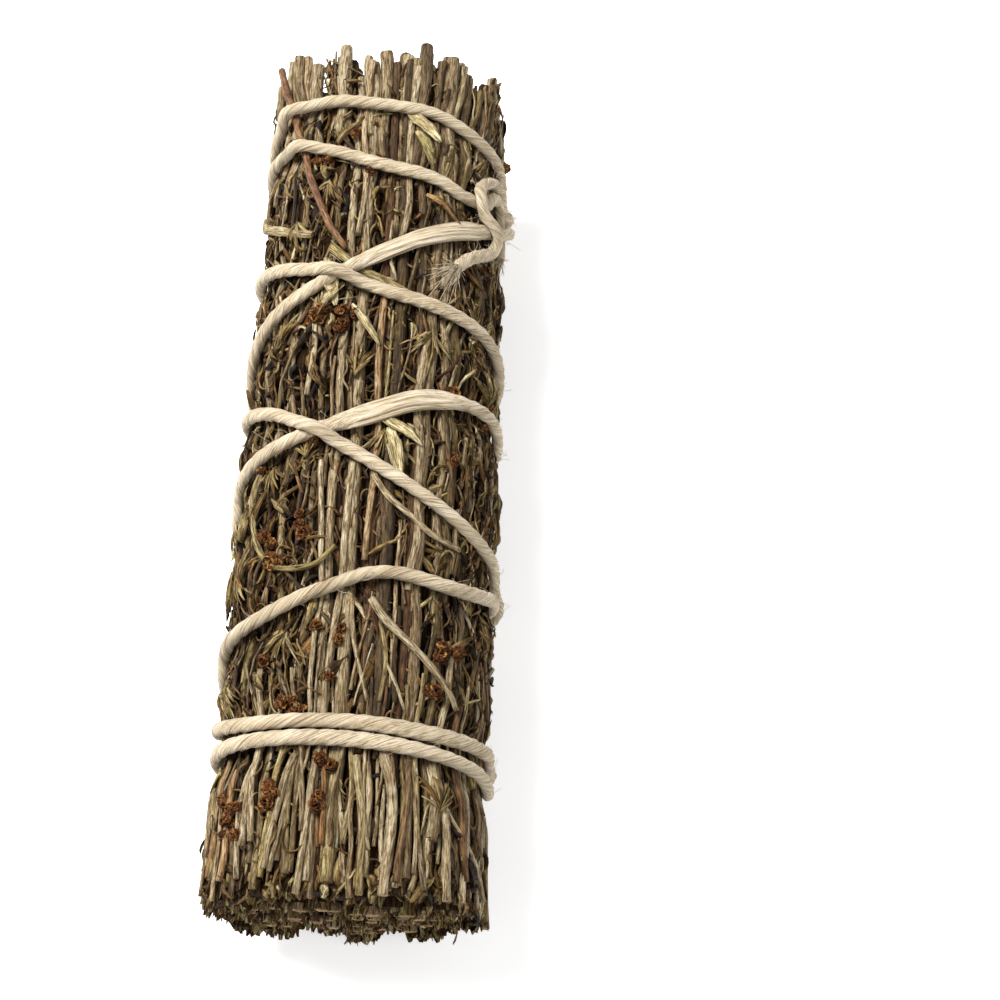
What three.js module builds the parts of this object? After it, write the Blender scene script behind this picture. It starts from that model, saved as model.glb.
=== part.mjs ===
// A sage smudge stick: dried sprigs of sage, cut to one length and packed side by side, bound by one
// cotton twine that winds down the bundle and back up, and is knotted on the right flank near the top.
// Millimetres. +Y runs from the cut base to the top of the bundle, +Z is up, and the stick lies on z = 0.
import * as THREE from "three";

// The bundle
const LENGTH = 129; // between the tips of the longest stems
const WIDTH = 38; // over the twine
const THICKNESS = 33; // over the twine, where no strands cross
const CORNER_POWER = 2.5; // 2 gives an ellipse, more a squarer section
const FLAT_DEPTH = 0.4; // how far the underside is pressed flat by lying on it

// The twine
const TWINE_DIAMETER = 1.8;
const CLEARANCE = 0.3; // between pieces that touch
const CROSSING_GAP = 0.25; // between a strand and what it passes over
const LAYER = TWINE_DIAMETER + CROSSING_GAP; // from a strand's centre to that of the strand on top of it
const RAMP = 0.55; // steepest climb of a strand towards a crossing
const ROUNDING = 1; // how far along a strand the top of such a climb is rounded
const TWINE_SIDES = 8;
const TWINE_STEP = 2.7; // along it, from one ring of corners to the next
const SPOT_SPACING = 0.6; // between the points that its height is worked out at
const FINE_DIVISIONS = 4000; // for measuring along a line this long

// The sprigs
const TIP_STAGGER = 6; // how much shorter than the longest stem the shortest one ends, at the top
const BASE_STAGGER = 2; // the same at the base, where the bundle was sawn
const TIP_TAPER = 4; // the length over which a sprig narrows to its bare tip
const TIP_SCALE = 0.55; // how much narrower it is there
const SPRIG_GAP = 0.24; // how far each corner stays inside the sprig's share of the section
const UNEVENNESS = 0.5; // how much further in a corner may be
const SPRIG_STEPS = 7;
const TWIG_SIDES = 6;
const TWIG_STEP = 3; // in diameters
// From the outside in: the outsets that each ring of sprigs reaches between, and how many it has.
const RINGS = {
  outer: { from: 0.2, to: -4, count: 24 },
  middle: { from: -4, to: -8, count: 17 },
  inner: { from: -8, to: -11.6, count: 9 },
};
const HEART_OUTSET = -11.6; // two sprigs fill what is inside the rings

const colours = {
  outer: { color: 0x6b573d, roughness: 0.9, metalness: 0 },
  middle: { color: 0x5d4a33, roughness: 0.92, metalness: 0 },
  inner: { color: 0x54422d, roughness: 0.95, metalness: 0 },
  twig: { color: 0x8f7d5d, roughness: 0.85, metalness: 0 },
  redTwig: { color: 0x6e412a, roughness: 0.75, metalness: 0 },
  twine: { color: 0xdacdb0, roughness: 0.95, metalness: 0 },
};

// Half width and half height of the outline that the outer sprigs touch, and of the twine's centreline.
const sprigWidth = WIDTH / 2 - TWINE_DIAMETER - CLEARANCE;
const sprigHeight = THICKNESS / 2 - TWINE_DIAMETER - CLEARANCE;
const middleZ = THICKNESS / 2;

const radians = THREE.MathUtils.degToRad;
const lerp = THREE.MathUtils.lerp;

// A repeatable number from 0 to 1 for each whole number.
function chance(seed) {
  const wave = Math.sin(seed * 12.9898 + 4.1414) * 43758.5453;
  return wave - Math.floor(wave);
}

// How much wider than its middle the bundle is at y: drawn in by the end ties, flared at the cut ends.
function girth(y) {
  const share = y / (LENGTH / 2);
  return 1 - 0.03 * share ** 2 + 0.045 * share ** 8;
}

// The point of the bundle's section at an angle from +X towards +Z, outset from the sprigs' outline.
function sectionPoint(angle, outset) {
  const halfWidth = sprigWidth + outset;
  const halfHeight = sprigHeight + FLAT_DEPTH + outset;
  const c = Math.cos(angle);
  const s = Math.sin(angle);
  const reach = (Math.abs(c) ** CORNER_POWER + Math.abs(s) ** CORNER_POWER) ** (-1 / CORNER_POWER);
  const x = halfWidth * reach * c;
  const z = Math.max(halfHeight * reach * s, -(sprigHeight + outset));
  return new THREE.Vector2(x, Math.min(z, sprigHeight + outset));
}

// Carries a point of the section to its place at y. The underside stays flat on the ground.
function place(x, z, y) {
  const share = girth(y);
  return new THREE.Vector3(x * share, y, middleZ - sprigHeight + (z + sprigHeight) * share);
}

// The bundle's surface at an angle and y, with the outward normal.
function surface(angle, y, outset) {
  const step = radians(1.5);
  const here = sectionPoint(angle, outset);
  const along = sectionPoint(angle + step, outset).sub(sectionPoint(angle - step, outset)).normalize();
  return { point: place(here.x, here.y, y), normal: new THREE.Vector3(along.y, 0, -along.x) };
}

// A closed outline of the section, which getPointAt and getTangentAt walk by arc length.
class SectionOutline extends THREE.Curve {
  constructor(outset) {
    super();
    this.outset = outset;
  }

  getPoint(t, target = new THREE.Vector3()) {
    const p = sectionPoint(2 * Math.PI * t, this.outset);
    return target.set(p.x, 0, p.y);
  }
}

// The line of something that lies on the bundle, through spots of (angle, y, height above the outset).
class LineOnBundle extends THREE.Curve {
  constructor(spots, outset) {
    super();
    this.outset = outset;
    this.route = new THREE.CatmullRomCurve3(spots, false, "catmullrom", 0.5);
  }

  getPoint(t, target = new THREE.Vector3()) {
    const { x: angle, y, z: height } = this.route.getPoint(t);
    const { point, normal } = surface(angle, y, this.outset);
    return target.copy(point).addScaledVector(normal, height);
  }

  spotAt(u) {
    return this.route.getPoint(this.getUtoTmapping(u));
  }

  // One flat of the section always faces outwards, so the twine lies flat under the bundle.
  computeFrenetFrames(steps) {
    const frames = { tangents: [], normals: [], binormals: [] };
    for (let i = 0; i <= steps; i++) {
      const { x: angle, y } = this.spotAt(i / steps);
      const tangent = this.getTangentAt(i / steps);
      const outward = surface(angle, y, this.outset).normal;
      const normal = outward.addScaledVector(tangent, -outward.dot(tangent)).normalize();
      frames.tangents.push(tangent);
      frames.normals.push(normal);
      frames.binormals.push(new THREE.Vector3().crossVectors(tangent, normal));
    }
    return frames;
  }
}

function spotsOf(route) {
  return route.map(([angle, y]) => new THREE.Vector3(radians(angle), y, 0));
}

// A regular outline whose first flat faces its +X.
function sectionShape(radius, sides) {
  const corners = Array.from({ length: sides }, (_, i) => {
    const angle = ((i + 0.5) * 2 * Math.PI) / sides;
    return new THREE.Vector2(radius * Math.cos(angle), radius * Math.sin(angle));
  });
  return new THREE.Shape(corners);
}

// A closed skin over outlines of equally many corners, one behind the other along +Y, each going round
// from +X towards +Z.
function loft(outlines) {
  const sides = outlines[0].length;
  const points = outlines.flat();
  const faces = [];
  const [first, last] = [points.length, points.length + 1];
  points.push(meanPoint(outlines[0]), meanPoint(outlines.at(-1)));
  for (let i = 0; i < sides; i++) {
    const next = (i + 1) % sides;
    for (let row = 0; row < (outlines.length - 1) * sides; row += sides) {
      faces.push(row + i, row + sides + i, row + sides + next);
      faces.push(row + i, row + sides + next, row + next);
    }
    const top = (outlines.length - 1) * sides;
    faces.push(first, i, next);
    faces.push(last, top + next, top + i);
  }
  const geometry = new THREE.BufferGeometry().setFromPoints(points).setIndex(faces);
  geometry.computeVertexNormals();
  return geometry;
}

function meanPoint(points) {
  const sum = points.reduce((total, p) => total.add(p), points[0].clone().setScalar(0));
  return sum.divideScalar(points.length);
}

function addPiece(name, geometry, finish) {
  const mesh = new THREE.Mesh(geometry, new THREE.MeshStandardMaterial(finish));
  mesh.name = name;
  bundle.add(mesh);
}

// Sprigs: each is a stem with the leaves and flower heads pressed round it, squeezed by its neighbours
// into its own share of the bundle's section.

// The corners of the share between two angles and two outsets.
function shareCorners(from, to, outer, inner) {
  const angles = [from, (from + to) / 2, to];
  const outside = angles.map((angle) => sectionPoint(angle, outer));
  const inside = angles.reverse().map((angle) => sectionPoint(angle, inner));
  return [...outside, ...inside];
}

function addSprig(name, corners, finish, seed) {
  const middle = meanPoint(corners);
  const low = -LENGTH / 2 + BASE_STAGGER * chance(seed);
  const high = LENGTH / 2 - TIP_STAGGER * chance(seed + 0.5);
  const outlineAt = (y, scale, row) =>
    corners.map((corner, i) => {
      const drawnIn = SPRIG_GAP + UNEVENNESS * chance(seed + 3 * row + 11 * i);
      const reach = (corner.distanceTo(middle) - drawnIn) * scale;
      const p = corner.clone().sub(middle).setLength(reach).add(middle);
      return place(p.x, p.y, y);
    });
  const outlines = [];
  for (let row = 0; row <= SPRIG_STEPS; row++) {
    outlines.push(outlineAt(lerp(low, high - TIP_TAPER, row / SPRIG_STEPS), 1, row));
  }
  outlines.push(outlineAt(high, TIP_SCALE, SPRIG_STEPS + 1));
  addPiece(name, loft(outlines), finish);
}

// Lays sprigs side by side round the section. They share the way round by weight, so that thick and thin
// ones alternate.
function addRing(layer, { from, to, count }) {
  const line = new SectionOutline(from);
  const weights = Array.from({ length: count }, (_, i) => 0.8 + 0.4 * chance(count * 7 + i));
  const total = weights.reduce((sum, w) => sum + w, 0);
  let used = 0;
  weights.forEach((weight, i) => {
    const start = 2 * Math.PI * line.getUtoTmapping(used / total);
    used += weight;
    const end = 2 * Math.PI * line.getUtoTmapping(used / total);
    const name = `sprig_${layer}_${String(i + 1).padStart(2, "0")}`;
    addSprig(name, shareCorners(start, end, from, to), colours[layer], count * 31 + i);
  });
}

// Two sprigs at the heart, right and left.
function addHeart() {
  [0, 180].forEach((facing, i) => {
    const angles = [-90, -45, 0, 45, 90].map((tilt) => radians(facing + tilt));
    const corners = angles.map((angle) => sectionPoint(angle, HEART_OUTSET));
    addSprig(`sprig_heart_${i + 1}`, corners, colours.inner, 901 + i);
  });
}

// The twine and the loose twigs

// The twine's route, [angle in degrees, y], from its first end to its last. The angle grows by 360 a turn.
const twineRoute = [
  // The first end, up the right flank and into the ring that starts the tie.
  [13, 32.5], [11, 36.5], [13, 40], [20, 42.5], [29, 41.5], [36, 39], [50, 38.5],
  [62, 40], [92, 42.5], [128, 46], [163, 47], [200, 47], [270, 45.5], [324, 43.4], [360, 40.5],
  // Down the bundle, four turns.
  [379, 37], [398, 34], [416, 31.5], [445, 27], [462, 24], [477, 21], [498, 17.5], [523, 13], [545, 10],
  [630, 6.5], [700, 4.5], [720, 4.5], [757, 4.5], [784, 3.5], [807, 1], [838, -2.5], [859, -4.5], [883, -7],
  [900, -11.5], [990, -16], [1080, -20.5], [1110, -22.5], [1130, -23], [1160, -22], [1183, -24.5],
  [1210, -28], [1243, -30.5], [1260, -33.5], [1350, -38], [1400, -41], [1422, -45], [1440, -46.8],
  // Twice round near the base.
  [1474, -46], [1501, -45], [1530, -44], [1560, -44], [1603, -44.2], [1620, -44], [1710, -43.5],
  [1800, -42.5], [1825, -43], [1857, -42.8], [1890, -41.8], [1931, -41.8], [1963, -40.5], [1980, -39.5],
  // Back up the bundle, over what went down.
  [1995, -36.5], [2070, -28], [2140, -18.5], [2160, -16.5], [2190, -15.5], [2216, -12], [2249, -5.5],
  [2272, -1.5], [2292, 2], [2323, 4.5], [2350, 6.4], [2376, 9.5], [2430, 12], [2520, 15], [2559, 17],
  [2594, 19.5], [2626, 23], [2667, 26.5], [2700, 28.5], [2790, 36], [2825, 40], [2844, 43.2],
  [2862, 46.4], [2880, 48.4], [2920, 49.5], [2949, 52], [2984, 53.5], [3015, 53.5], [3043, 51.5],
  [3060, 51.5], [3150, 50], [3200, 49], [3222, 46.6],
  // Round the first strands at the knot, to the last end.
  [3240, 45.3], [3254, 45.2], [3267, 44.6], [3277, 42.6], [3283, 39.8], [3281, 37], [3275, 35.3],
  [3269, 33.8], [3269, 32], [3274, 30.6], [3281, 29.2], [3288, 27.4], [3294, 25],
];

// Twigs that lie loose on the bundle under the twine: [angle in degrees, y] along each.
const looseTwigs = {
  red_stem: {
    finish: colours.redTwig,
    diameter: 1.2,
    route: [[147, 63.5], [140, 57], [132, 50], [124, 42.5], [117, 36.5], [110, 31], [103, 27.5]],
  },
  crossing_twig: {
    finish: colours.twig,
    diameter: 1,
    route: [[168, 39.5], [155, 36], [140, 33], [128, 31], [118, 29.8]],
  },
  curled_twig: {
    finish: colours.twig,
    diameter: 0.9,
    route: [[136, -7], [137, -12], [132, -17.5], [125, -20.5], [117, -21.6], [106, -21], [98, -18.5]],
  },
  right_twig: {
    finish: colours.twig,
    diameter: 0.9,
    route: [[84, -8], [78, -11], [68, -14], [58, -16.5], [46, -17.5]],
  },
  diagonal_twig: {
    finish: colours.twig,
    diameter: 1.1,
    route: [[82, -25.8], [75, -29], [60, -33.5], [50, -37], [45, -39.2]],
  },
};

// How high each of some evenly spaced points along the twine lies, to pass over what is there before it.
function crossingHeights(points, laid) {
  const spacing = points[1].distanceTo(points[0]);
  const level = new Array(points.length).fill(0);
  const peaked = liftedOver(liftedOver(level, points, laid, spacing), points, laid, spacing);
  return liftedOver(roundedOff(peaked, Math.round(ROUNDING / spacing)), points, laid, spacing);
}

// Lifts each point clear of what is laid and of the twine before it, and the points beside it into ramps.
function liftedOver(heights, points, laid, spacing) {
  const lifted = [...heights];
  const skip = Math.round((3 * LAYER) / spacing);
  points.forEach((point, i) => {
    laid.forEach(({ at, needs }) => {
      const apart = point.distanceTo(at);
      if (apart < needs) lifted[i] = Math.max(lifted[i], Math.sqrt(needs ** 2 - apart ** 2));
    });
    for (let j = 0; j < i - skip; j++) {
      const apart = point.distanceTo(points[j]);
      if (apart < LAYER) lifted[i] = Math.max(lifted[i], lifted[j] + Math.sqrt(LAYER ** 2 - apart ** 2));
    }
  });
  for (let i = 1; i < lifted.length; i++) {
    lifted[i] = Math.max(lifted[i], lifted[i - 1] - RAMP * spacing);
  }
  for (let i = lifted.length - 2; i >= 0; i--) {
    lifted[i] = Math.max(lifted[i], lifted[i + 1] - RAMP * spacing);
  }
  return lifted;
}

// Rounds the tops without lowering anything: each height becomes the mean of the highest ones around it.
function roundedOff(heights, reach) {
  const around = (values, i) => values.slice(Math.max(0, i - reach), i + reach + 1);
  const highest = heights.map((_, i) => Math.max(...around(heights, i)));
  return highest.map((_, i) => around(highest, i).reduce((a, b) => a + b) / around(highest, i).length);
}

function addOnBundle(name, line, diameter, sides, finish, step) {
  // A polygon's flats lie at its inner radius, so the corners go out by this much.
  const radius = diameter / 2 / Math.cos(Math.PI / sides);
  const geometry = new THREE.ExtrudeGeometry(sectionShape(radius, sides), {
    steps: Math.round(line.getLength() / step),
    extrudePath: line,
  });
  addPiece(name, geometry, finish);
}

function addLooseTwigs() {
  return Object.entries(looseTwigs).flatMap(([name, { finish, diameter, route }]) => {
    const line = new LineOnBundle(spotsOf(route), CLEARANCE + diameter / 2);
    addOnBundle(name, line, diameter, TWIG_SIDES, finish, TWIG_STEP * diameter);
    // The twine's centre has to rise by what is under it, from the height at which it would lie.
    const needs = diameter + CLEARANCE + CROSSING_GAP;
    return line.getSpacedPoints(60).map((at) => ({ at, needs }));
  });
}

function addTwine(laid) {
  const outset = CLEARANCE + TWINE_DIAMETER / 2;
  const flat = new LineOnBundle(spotsOf(twineRoute), outset);
  flat.arcLengthDivisions = FINE_DIVISIONS;
  const count = Math.round(flat.getLength() / SPOT_SPACING);
  const spots = Array.from({ length: count + 1 }, (_, i) => flat.spotAt(i / count));
  const heights = crossingHeights(flat.getSpacedPoints(count), laid);
  const raised = spots.map((spot, i) => spot.clone().setZ(heights[i]));
  const line = new LineOnBundle(raised, outset);
  line.arcLengthDivisions = FINE_DIVISIONS;
  addOnBundle("twine", line, TWINE_DIAMETER, TWINE_SIDES, colours.twine, TWINE_STEP);
}

const bundle = new THREE.Group();
bundle.name = "smudge_stick";

Object.entries(RINGS).forEach(([layer, ring]) => addRing(layer, ring));
addHeart();
addTwine(addLooseTwigs());

export default bundle;
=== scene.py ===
"""A sage smudge stick lying on a pale floor: bound sprigs of stems, curled leaves and flower heads."""
import math

import bpy
import numpy as np
from mathutils import Matrix, Vector, kdtree


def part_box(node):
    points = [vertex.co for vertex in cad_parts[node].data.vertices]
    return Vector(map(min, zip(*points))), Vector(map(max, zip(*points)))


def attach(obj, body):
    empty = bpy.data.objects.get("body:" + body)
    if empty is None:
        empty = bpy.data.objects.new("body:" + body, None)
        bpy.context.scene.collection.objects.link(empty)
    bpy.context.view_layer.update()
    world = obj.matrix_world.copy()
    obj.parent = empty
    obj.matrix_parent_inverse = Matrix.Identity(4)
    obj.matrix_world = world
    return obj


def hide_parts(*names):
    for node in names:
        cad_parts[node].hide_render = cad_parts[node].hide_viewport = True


MM = 0.001

# The bundle's section, as the CAD model has it
WIDTH = 38 * MM  # over the twine
THICKNESS = 33 * MM
CORNER_POWER = 2.5
FLAT_DEPTH = 0.4 * MM
TWINE_DIAMETER = 1.8 * MM
CLEARANCE = 0.3 * MM
LENGTH = 129 * MM
SPRIG_WIDTH = WIDTH / 2 - TWINE_DIAMETER - CLEARANCE
SPRIG_HEIGHT = THICKNESS / 2 - TWINE_DIAMETER - CLEARANCE
MIDDLE_Z = THICKNESS / 2

# The twine
TWINE_SPACING = 0.6 * MM  # between its rings
LAYER = 1.6 * MM  # from a strand's centre to that of one pressed onto it
RAMP = 0.5
TWIST_PITCH = 9 * MM
PLIES = 4
FUZZ_COUNT = 800
RIBBONS = [(398, 456), (770, 818)]  # where it lies flat and untwisted, in degrees along its route

# The sprigs
BULGE = 1.0 * MM  # how far they swell between the turns of twine
FLOWER_PATCHES = [  # where they show on the front: from and to in degrees, from and to in mm, how many
    (110, 145, -22, -3, 5),
    (75, 130, -42, -30, 6),
    (40, 60, -38, -30, 3),
    (90, 145, -55, -45, 6),
    (85, 125, 38, 50, 4),
    (100, 135, 0, 18, 5),
    (20, 60, -25, 20, 4),
]
FLOWER_SEED = 5
BROAD_LEAVES = [  # angle of its root, y, lean to the right in degrees
    (78, 52, 40), (74, 48, 25), (72, 40, 35), (68, 37, 55), (84, 1, 50), (79, -1, 15), (72, -3, -40),
    (103, 22, -25), (98, 18, 30), (112, 26, 15),
]
SCRAPS = 235  # leaf scraps on an outer sprig
CURLS = 105
SHOOTS = 20
LEAVES_PER_END = 45
LEAFY_FROM = -47 * MM  # few leaves lie nearer the base than this
HIGH_SIDE = (62, 160)  # between these angles stems reach HIGH_TOP
HIGH_TOP = 64.7 * MM
WOODY = (40, 106)  # the sprigs between these angles have broad stems and few leaves

# The photographer's place
CAMERA_TARGET = Vector((18.5, 2.9, 0)) * MM
CAMERA_DISTANCE = 237.2 * MM
CAMERA_ELEVATION = 65.82
CAMERA_YAW = 0.88
CAMERA_ROLL = 0.32
CAMERA_LENS = 55.15

# The studio
FLOOR_GLOW = 0.45  # washes out most of the shadow
WORLD_STRENGTH = 0.44
KEY_POWER = 10.6
FILL_POWER = 1.5

# Kinds of surface, in the order of each piece's material slots
MASS, LEAF, STEM, FLOWER, RED, CUT = range(6)

# The twine's route, (angle in degrees, y in mm), from its first end to its last.
TWINE_ROUTE = [
    # The first end, up the right flank and into the ring that starts the tie.
    (13, 32.5), (11, 36.5), (13, 40), (20, 42.5), (29, 41.5), (36, 39), (50, 38.5),
    (62, 40), (92, 42.5), (128, 46), (163, 47), (200, 47), (270, 45.5), (324, 43.4), (360, 40.5),
    # Down the bundle, four turns.
    (379, 37), (398, 34), (416, 31.5), (445, 27), (462, 24), (477, 21), (498, 17.5), (523, 13), (545, 10),
    (630, 6.5), (700, 4.5), (720, 4.5), (757, 4.5), (784, 3.5), (807, 1), (838, -2.5), (859, -4.5),
    (883, -7), (900, -11.5), (990, -16), (1080, -20.5), (1110, -22.5), (1130, -23), (1160, -22),
    (1183, -24.5), (1210, -28), (1243, -30.5), (1260, -33.5), (1350, -38), (1400, -41), (1422, -45),
    (1440, -46.8),
    # Twice round near the base.
    (1474, -46), (1501, -45), (1530, -44), (1560, -44), (1603, -44.2), (1620, -44), (1710, -43.5),
    (1800, -42.5), (1825, -43), (1857, -42.8), (1890, -41.8), (1931, -41.8), (1963, -40.5), (1980, -39.5),
    # Back up the bundle, over what went down.
    (1995, -36.5), (2070, -28), (2140, -18.5), (2160, -16.5), (2190, -15.5), (2216, -12), (2249, -5.5),
    (2272, -1.5), (2292, 2), (2323, 4.5), (2350, 6.4), (2376, 9.5), (2430, 12), (2520, 15), (2559, 17),
    (2594, 19.5), (2626, 23), (2667, 26.5), (2700, 28.5), (2790, 36), (2825, 40), (2844, 43.2),
    (2862, 46.4), (2880, 48.4), (2920, 49.5), (2949, 52), (2984, 53.5), (3015, 53.5), (3043, 51.5),
    (3060, 51.5), (3150, 50), (3200, 49), (3222, 46.6),
    # Round the first strands at the knot, to the last end.
    (3240, 45.3), (3254, 45.2), (3267, 44.6), (3277, 42.6), (3283, 39.8), (3281, 37), (3275, 35.3),
    (3269, 33.8), (3269, 32), (3274, 30.6), (3281, 29.2), (3288, 27.4), (3294, 25),
]

# Loose twigs: node, kind, diameter in mm and route.
LOOSE_TWIGS = {
    "red_stem": (
        RED,
        1.2,
        [(147, 63.5), (140, 57), (132, 50), (124, 42.5), (117, 36.5), (110, 31), (103, 27.5)],
    ),
    "crossing_twig": (STEM, 1.0, [(168, 39.5), (155, 36), (140, 33), (128, 31), (118, 29.8)]),
    "curled_twig": (
        STEM,
        0.9,
        [(136, -7), (137, -12), (132, -17.5), (125, -20.5), (117, -21.6), (106, -21), (98, -18.5)],
    ),
    "right_twig": (STEM, 0.9, [(84, -8), (78, -11), (68, -14), (58, -16.5), (46, -17.5)]),
    "diagonal_twig": (STEM, 1.1, [(82, -25.8), (75, -29), (60, -33.5), (50, -37), (45, -39.2)]),
}

FLATTENED = np.array([1.7, 0.7])  # width and height of the crossing twig, by its diameter

# Stems that stand out on the front of the bundle: diameter in mm and route. Each belongs to a sprig.
DRAWN_STEMS = [
    (1.0, [(93, -6), (97, -30), (104, -63)]),
    (0.8, [(107, -6), (104, -20), (105, -41)]),
    (0.6, [(90, -25), (87, -33), (81, -39)]),
    (0.7, [(80, -26), (75, -33), (76, -39)]),
    (0.5, [(75, -34), (70, -37), (66, -40)]),
    (1.1, [(84, 20), (85, 8), (83, -3), (86, -20)]),
    (1.3, [(74, 60), (76, 48), (75, 36), (77, 30)]),
    (1.0, [(96, 61), (99, 50), (96, 38), (98, 30)]),
    (1.2, [(64, 14), (66, 2), (64, -12), (66, -24)]),
    (0.9, [(115, 20), (113, 12), (116, 4)]),
    (1.5, [(110, 28), (98, 25), (80, 22), (63, 19)]),  # the crossing twig, past the red stem
    (1.5, [(72, -45), (70, -52), (71, -63)]),
    (1.1, [(84, -46), (81, -54), (80, -63)]),
    (1.0, [(110, -46), (115, -54), (117, -60)]),
    (1.3, [(52, -46), (47, -55), (46, -63)]),
    (0.9, [(126, -46), (131, -53), (128, -61)]),
]


def linear(code):
    """The colour of a hex code, as Blender's colour sockets hold it."""
    values = [int(code[i : i + 2], 16) / 255 for i in (1, 3, 5)]
    return tuple(v / 12.92 if v < 0.04 else ((v + 0.055) / 1.055) ** 2.4 for v in values) + (1,)


# The bundle's surface


def girth(y):
    """How much wider than its middle the bundle is at y."""
    share = y / (LENGTH / 2)
    return 1 - 0.03 * share**2 + 0.045 * share**8


def section_point(angle, outset):
    """The point (x, z) of the section at an angle from +X towards +Z, outset from the sprigs' outline."""
    c, s = np.cos(angle), np.sin(angle)
    reach = (np.abs(c) ** CORNER_POWER + np.abs(s) ** CORNER_POWER) ** (-1 / CORNER_POWER)
    x = (SPRIG_WIDTH + outset) * reach * c
    z = (SPRIG_HEIGHT + FLAT_DEPTH + outset) * reach * s
    limit = SPRIG_HEIGHT + outset
    return x, np.clip(z, -limit, limit)


def place(x, z, y):
    """Carries a point of the section to its place at y."""
    share = girth(y)
    return np.stack([x * share, y, MIDDLE_Z - SPRIG_HEIGHT + (z + SPRIG_HEIGHT) * share], axis=-1)


def on_surface(angle, y, outset):
    """Points on the bundle and the outward normals there."""
    x, z = section_point(angle, outset)
    step = math.radians(1.5)
    x1, z1 = section_point(angle + step, outset)
    x0, z0 = section_point(angle - step, outset)
    normal = np.stack([z1 - z0, np.zeros_like(x), x0 - x1], axis=-1)
    return place(x, z, y), normal / np.linalg.norm(normal, axis=-1, keepdims=True)


class Unrolled:
    """The bundle's outline unrolled, so that a place on it is (distance round, y)."""

    def __init__(self):
        self.angles = np.linspace(0, 2 * math.pi, 1441)
        x, z = section_point(self.angles, 0)
        self.rounds = np.concatenate([[0], np.cumsum(np.hypot(np.diff(x), np.diff(z)))])
        self.length = self.rounds[-1]

    def round_of(self, angle):
        turns = np.floor(angle / (2 * math.pi))
        return turns * self.length + np.interp(angle - turns * 2 * math.pi, self.angles, self.rounds)

    def angle_of(self, distance):
        turns = np.floor(distance / self.length)
        rest = np.interp(distance - turns * self.length, self.rounds, self.angles)
        return turns * 2 * math.pi + rest


UNROLLED = Unrolled()


def spline(points, count):
    """A Catmull-Rom curve through the points, sampled evenly in its parameter."""
    p = np.asarray(points, dtype=float)
    p = np.vstack([2 * p[0] - p[1], p, 2 * p[-1] - p[-2]])
    t = np.linspace(0, len(p) - 3, count)
    i = np.minimum(t.astype(int), len(p) - 4)
    f = (t - i)[:, None]
    a, b, c, d = p[i], p[i + 1], p[i + 2], p[i + 3]
    return b + 0.5 * f * (c - a + f * (2 * a - 5 * b + 4 * c - d + f * (3 * (b - c) + d - a)))


def route_spots(route, outset, spacing):
    """Evenly spaced (angle, y) along a route on the bundle, in radians and metres."""
    spots = spline([(math.radians(angle), y * MM) for angle, y in route], 40 * len(route))
    points, _ = on_surface(spots[:, 0], spots[:, 1], outset)
    along = np.concatenate([[0], np.cumsum(np.linalg.norm(np.diff(points, axis=0), axis=1))])
    even = np.linspace(0, along[-1], max(3, round(along[-1] / spacing)))
    return np.stack([np.interp(even, along, spots[:, 0]), np.interp(even, along, spots[:, 1])], axis=1)


def smoothed(values, reach):
    """Each value becomes the mean of those around it."""
    kernel = np.hanning(2 * reach + 3)[1:-1]
    padded = np.pad(values, reach, mode="edge")
    return np.convolve(padded, kernel / kernel.sum(), mode="valid")


def crossing_heights(points, laid):
    """How high each point of the twine lies, to pass over the twigs that are laid and the twine before it."""
    heights = np.zeros(len(points))
    for at, needs in laid:
        apart = np.linalg.norm(points[:, None] - at[None], axis=2).min(axis=1)
        heights = np.maximum(heights, np.sqrt(np.maximum(needs**2 - apart**2, 0)))
    skip = round(3 * LAYER / TWINE_SPACING)
    for i in range(skip + 1, len(points)):
        apart = np.linalg.norm(points[: i - skip] - points[i], axis=1)
        near = apart < LAYER
        if near.any():
            over = heights[: i - skip][near] + np.sqrt(LAYER**2 - apart[near] ** 2)
            heights[i] = max(heights[i], over.max())
    rise = RAMP * TWINE_SPACING
    for i in range(1, len(heights)):
        heights[i] = max(heights[i], heights[i - 1] - rise)
    for i in range(len(heights) - 2, -1, -1):
        heights[i] = max(heights[i], heights[i + 1] - rise)
    return smoothed(heights, 3)


class Grooves:
    """How far from the nearest twine each place on the bundle is, on a grid of angle and y."""

    def __init__(self, spots):
        points, _ = on_surface(spots[:, 0], spots[:, 1], 0)
        tree = kdtree.KDTree(len(points))
        for i, point in enumerate(points):
            tree.insert(point, i)
        tree.balance()
        self.angles = np.radians(np.arange(0, 361, 2))
        self.ys = np.arange(-66, 67, 0.7) * MM
        grid, _ = on_surface(*np.meshgrid(self.angles, self.ys), 0)
        flat = [tree.find(p)[2] for p in grid.reshape(-1, 3)]
        self.distance = np.array(flat).reshape(grid.shape[:2])

    def swell(self, angle, y):
        """0 under the twine, 1 away from it."""
        column = np.mod(angle, 2 * math.pi) / math.radians(2)
        row = np.clip((y - self.ys[0]) / (self.ys[1] - self.ys[0]), 0, len(self.ys) - 1.001)
        i, j = row.astype(int), np.minimum(column.astype(int), len(self.angles) - 2)
        fi, fj = row - i, column - j
        d = self.distance
        near = (d[i, j] * (1 - fj) + d[i, j + 1] * fj) * (1 - fi)
        near = near + (d[i + 1, j] * (1 - fj) + d[i + 1, j + 1] * fj) * fi
        share = np.clip((near - 0.8 * MM) / (4.5 * MM), 0, 1)
        return share * share * (3 - 2 * share)


# Sweeping strands into meshes


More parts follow.
